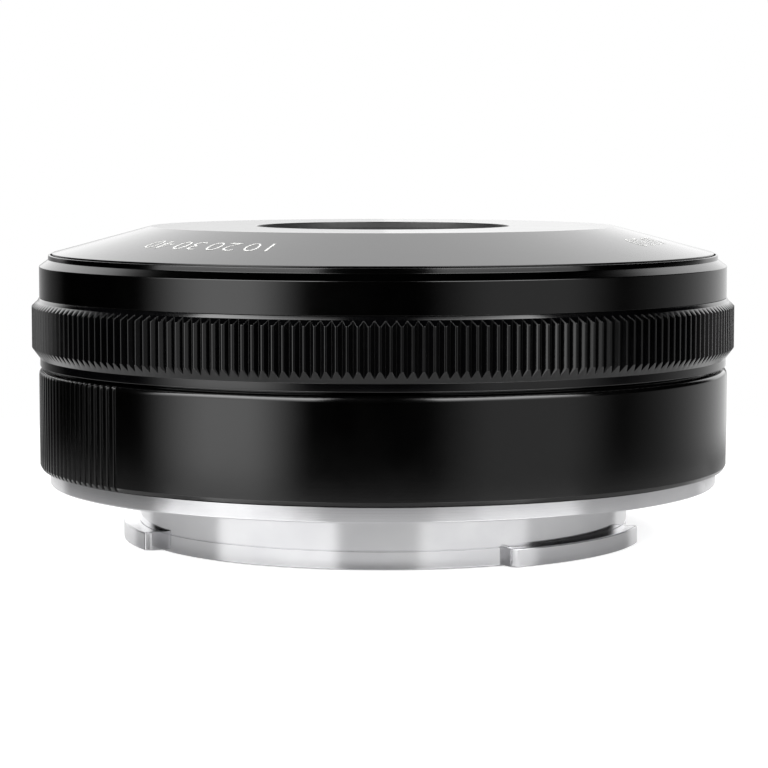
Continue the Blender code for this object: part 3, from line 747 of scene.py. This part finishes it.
def mark_mesh(width, height):
    """A flat upright bar, as a mesh."""
    mesh = bpy.data.meshes.new("mark")
    corners = [(-width / 2, -height / 2, 0), (width / 2, -height / 2, 0),
               (width / 2, height / 2, 0), (-width / 2, height / 2, 0)]
    mesh.from_pydata(corners, [], [(0, 1, 2, 3)])
    return mesh


def marks_piece(name, body, items, material=WHITE):
    """One piece of painted marks, as open sheets; items are (flat mesh, bend, angle, base, flip)."""
    bm = bmesh.new()
    for item in items:
        add_flat(bm, *item)
    piece = make_piece(name, bm, [material], body)
    piece.modifiers.clear()


def scales():
    """Distance, aperture and bezel scales, all of them plain generic numbers."""
    aperture_marks()
    distance_marks()
    bezel_numbers()


def aperture_marks():
    """The stops on the smooth ring, and the knurled ring's own mark, which its lip covers."""
    ring = on_cylinder(FRONT_RADIUS)
    stops = []
    for k, words in enumerate(("2", "2.8", "4", "5.6", "8", "11", "16")):
        angle = WIDE_OPEN_ANGLE + STOP_STEP * k
        stops.append((text_mesh(words, 1.9), ring, angle, 22.85, 1))
        stops.append((mark_mesh(0.16, 0.5), ring, angle, 21.62, 1))
    marks_piece("aperture_scale", "optical_unit", stops)

    lip = on_cylinder(LIP_RADIUS - 0.06, 0.02)
    index = (mark_mesh(0.35, 0.5), lip, WIDE_OPEN_ANGLE, 15.6, 1)
    marks_piece("aperture_index_mark", "aperture", [index])


def distance_marks():
    """The distances on the focus ring, with infinity above the red dot."""
    barrel = on_cylinder(FOCUS_RADIUS)
    distances = []
    for words, turn in (("3", 8.8), ("1.5", 17.8), ("1", 26.9), ("0.7", 39), ("0.5", 54.5)):
        angle = INDEX_ANGLE - math.radians(turn)
        distances.append((text_mesh(words, 2.1), barrel, angle, 9.3, 1))
        distances.append((mark_mesh(0.18, 0.8), barrel, angle, 7.4, 1))
    distances.append((mark_mesh(0.18, 0.8), barrel, INDEX_ANGLE, 7.4, 1))
    distances.append((infinity_mesh(), barrel, INDEX_ANGLE, 9.3, 1))
    marks_piece("distance_scale", "focus", distances)


def bezel_numbers():
    """Two runs of numbers on the cone, with their tops pointing outwards."""
    cone = on_cone()
    numbers = []
    for first, count, start, step in ((10, 4, -113.5, -8.3), (50, 2, -28, 8.3)):
        for k in range(count):
            words = str(first + 10 * k)
            angle = math.radians(start + step * k)
            numbers.append((text_mesh(words, 3.1, 0.06), cone, angle, 24.4, -1))
    marks_piece("bezel_scale", "optical_unit", numbers)


def infinity_point(turn, width):
    """A point on the lying figure eight, at a turn from 0 to a full circle."""
    spread = 1 + math.sin(turn) ** 2
    return Vector((math.cos(turn) / spread, math.sin(turn) * math.cos(turn) / spread)) * width / 2


def infinity_mesh(width=2.3, stroke=0.26, steps=48):
    """The lying figure eight for infinity, as a flat band."""
    mesh = bpy.data.meshes.new("infinity")
    points = []
    faces = []
    for i in range(steps):
        turn = math.tau * i / steps
        middle = infinity_point(turn, width)
        side = (infinity_point(turn + 0.01, width) - middle).normalized()
        side = Vector((-side.y, side.x)) * stroke / 2
        points += [(*(middle + side), 0), (*(middle - side), 0)]
        j = (i + 1) % steps
        faces.append((2 * i, 2 * i + 1, 2 * j + 1, 2 * j))
    mesh.from_pydata(points, [], faces)
    return mesh


# ---------------------------------------------------------------- the studio

CAMERA_PLACE = Vector((0.0000885, -0.2430, 0.03483))
CAMERA_TILT = math.radians(90 - 5.057)
CAMERA_LENS = 128.67

# The floor: its radius, and the distances from the axis between which it fades out, in metres.
FLOOR_RADIUS = 0.14
FLOOR_DROP = 0.00005
FLOOR_FADE = (0.06, 0.115)
# Pools of light painted on the floor as emission, seen only in the lens's reflections, as (start, end,
# strength), in degrees from the front.
PAINTED_FLOOR_POOLS = ((-60, -23, 0.65), (-23, 24, 0.45), (24, 53, 0.7), (53, 115, 0.29))
PAINTED_POOL_BAND = ((0.054, 0.06), (0.088, 0.08))


def add_camera():
    """The camera at the photograph's angle, about five degrees above the lens."""
    data = bpy.data.cameras.new("studio_camera")
    data.lens = CAMERA_LENS
    data.sensor_width = 36
    data.clip_start = 0.01
    data.clip_end = 10
    camera = bpy.data.objects.new("studio_camera", data)
    camera.location = CAMERA_PLACE
    camera.rotation_euler = (CAMERA_TILT, 0, 0)
    bpy.context.scene.collection.objects.link(camera)
    bpy.context.scene.camera = camera


def window(tree, value, low, high, soft):
    """1 inside a range of angles in degrees, 0 outside it, with soft edges."""
    low, high, soft = (math.radians(angle) for angle in (low, high, soft))
    rising = ramp(tree, value, low - soft, low + soft)
    falling = ramp(tree, value, high - soft, high + soft, 1.0, 0.0)
    return maths(tree, "MULTIPLY", rising, falling)


def step_up(tree, value, start, end, low=0.0, high=1.0):
    """A rise from low to high between two angles in degrees."""
    return ramp(tree, value, math.radians(start), math.radians(end), low, high)


def add_studio():
    """Soft studio light: two tall panels in front, and a bright sweep behind the lens."""
    world = bpy.data.worlds.new("studio")
    bpy.context.scene.world = world
    world.use_nodes = True
    tree = world.node_tree
    tree.nodes.clear()
    direction = node(tree, "TexCoord").outputs["Generated"]
    parts = node(tree, "SeparateXYZ", {0: direction}).outputs
    to_viewer = maths(tree, "MULTIPLY", parts[1], -1.0)
    azimuth = maths(tree, "ARCTAN2", parts[0], to_viewer)
    elevation = maths(tree, "ARCSINE", parts[2])

    upper = step_up(tree, elevation, 0, 5)
    lower = maths(tree, "SUBTRACT", 1.0, upper)
    top = step_up(tree, elevation, 62, 50)
    high = step_up(tree, elevation, 5, 34)

    def panel(start, end, low, up):
        """A tall soft panel, dimmer at the horizon than above."""
        shape = maths(tree, "MULTIPLY", window(tree, azimuth, start, end, 3), top)
        return maths(tree, "MULTIPLY", shape, ramp(tree, high, 0.0, 1.0, low, up, "LINEAR"))

    def pool(rise, fall, strength):
        """The panel's light on the ground, between two soft edges of (start, end) degrees."""
        shape = maths(tree, "MULTIPLY", step_up(tree, azimuth, *rise), step_up(tree, azimuth, *fall))
        return maths(tree, "MULTIPLY", shape, strength)

    left_panel = panel(-82, -21, 1.6, 7.5)
    left_pool = pool((-87, -55), (-22, -46), 2.4)
    right_panel = panel(17, 70, 0.9, 7.0)
    right_pool = pool((12, 38), (86, 58), 0.6)

    turned_away = maths(tree, "ABSOLUTE", azimuth)
    sweep = maths(tree, "MULTIPLY", step_up(tree, turned_away, 134, 146), step_up(tree, elevation, 52, 36))
    sweep = maths(tree, "MULTIPLY", sweep, ramp(tree, high, 0.0, 1.0, 1.55, 1.5, "LINEAR"))
    ground_left = step_up(tree, azimuth, -136, -180, 0.08, 0.6)
    ground_left = maths(tree, "MULTIPLY", ground_left, step_up(tree, azimuth, -128, -140))
    ground_right = step_up(tree, azimuth, 72, 172)
    ground = maths(tree, "ADD", ground_left, ground_right)

    above = maths(tree, "ADD", maths(tree, "ADD", left_panel, right_panel), sweep)
    below = maths(tree, "ADD", maths(tree, "ADD", left_pool, right_pool), ground)
    above = maths(tree, "MULTIPLY", above, upper)
    below = maths(tree, "MULTIPLY", below, lower)
    total = maths(tree, "ADD", above, below)

    light = node(tree, "Background", {"Color": (1, 1, 1, 1), "Strength": total})
    backdrop = node(tree, "Background", {"Color": (1, 1, 1, 1), "Strength": 1.0})
    seen = node(tree, "LightPath").outputs["Is Camera Ray"]
    mixed = node(tree, "MixShader", {0: seen, 1: light.outputs[0], 2: backdrop.outputs[0]})
    output = node(tree, "OutputWorld", {0: mixed.outputs[0]})
    output.is_active_output = True


def add_floor():
    """A pale disc under the lens that fades out into the white backdrop."""
    bm = bmesh.new()
    bmesh.ops.create_circle(bm, cap_ends=True, segments=96, radius=FLOOR_RADIUS)
    mesh = bpy.data.meshes.new("studio_floor")
    bm.to_mesh(mesh)
    bm.free()
    mesh.materials.append(floor_material())
    floor = bpy.data.objects.new("studio_floor", mesh)
    floor.location = (0, 0, -FLOOR_DROP)
    bpy.context.scene.collection.objects.link(floor)


def floor_material():
    """Pale speckled paper for the eye; for the lens's reflections, paper with painted pools of light and
    painted shade.
    """
    material = bpy.data.materials.new("pale_floor")
    material.use_nodes = True
    tree = material.node_tree
    tree.nodes.clear()
    place = node(tree, "TexCoord").outputs["Object"]
    distance = node(tree, "VectorMath", {0: place}, operation="LENGTH").outputs["Value"]
    for_camera = floor_seen(tree, place)
    for_light = floor_reflected(tree, place, distance)
    seen = node(tree, "LightPath").outputs["Is Camera Ray"]
    both = node(tree, "MixShader", {0: seen, 1: for_light, 2: for_camera})
    clear = node(tree, "BsdfTransparent")
    fade = ramp(tree, distance, *FLOOR_FADE)
    mixed = node(tree, "MixShader", {0: fade, 1: both.outputs[0], 2: clear.outputs[0]})
    node(tree, "OutputMaterial", {0: mixed.outputs[0]})
    return material


def floor_seen(tree, place):
    """What the camera sees: speckled white paper, lifted towards the backdrop."""
    speckle = noise(tree, place, 900, 3)
    tone = blend_colours(tree, speckle, (0.80, 0.80, 0.80), (0.84, 0.84, 0.84))
    matt = node(tree, "BsdfDiffuse", {"Color": tone})
    lift = node(tree, "Emission", {"Color": (1, 1, 1, 1), "Strength": 0.62})
    return node(tree, "AddShader", {0: matt.outputs[0], 1: lift.outputs[0]}).outputs[0]


def floor_reflected(tree, place, distance):
    """What the lens reflects: a slight mirror near it, painted pools of light further out, and paper
    painted darker away from the lens.
    """
    parts = node(tree, "SeparateXYZ", {0: place}).outputs
    azimuth = maths(tree, "ARCTAN2", parts[0], maths(tree, "MULTIPLY", parts[1], -1.0))
    pools = 0.0
    # Painted light: emission in windows of azimuth within a band of distance, over an even emission of
    # 0.12.
    for start, end, strength in PAINTED_FLOOR_POOLS:
        pool = maths(tree, "MULTIPLY", window(tree, azimuth, start, end, 2.5), strength)
        pools = maths(tree, "ADD", pool, pools)
    near, far = PAINTED_POOL_BAND
    band = maths(tree, "MULTIPLY", ramp(tree, distance, *near), ramp(tree, distance, *far))
    strength = maths(tree, "ADD", maths(tree, "MULTIPLY", pools, band), 0.12)
    painted_pool_light = node(tree, "Emission", {"Color": (1, 1, 1, 1), "Strength": strength})
    # Painted shade: the paper's colour darkens from 0.58 near the lens to 0.1 further out, for the
    # reflections only.
    paper_painted_darker_far = node(tree, "BsdfDiffuse", {"Color": ramp(tree, distance, 0.045, 0.07, 0.58, 0.1)})
    sheen = node(tree, "BsdfGlossy", {"Color": (1, 1, 1, 1), "Roughness": 0.12})
    mirror_share = ramp(tree, distance, 0.06, 0.08, 0.3, 0.0)
    polished = node(tree, "MixShader", {0: mirror_share, 1: paper_painted_darker_far.outputs[0], 2: sheen.outputs[0]})
    return node(tree, "AddShader", {0: polished.outputs[0], 1: painted_pool_light.outputs[0]}).outputs[0]


add_camera()
add_studio()
add_floor()
chrome_bayonet()
mount_screws()
red_index_dot()
rear_light_baffle()
ribbed_focus_ring()
knurled_aperture_ring()
smooth_front_ring()
cone_bezel()
glass_elements()
cells_and_rings()
dress_cad_nodes()
scales()
bpy.context.scene.view_settings.view_transform = "Standard"
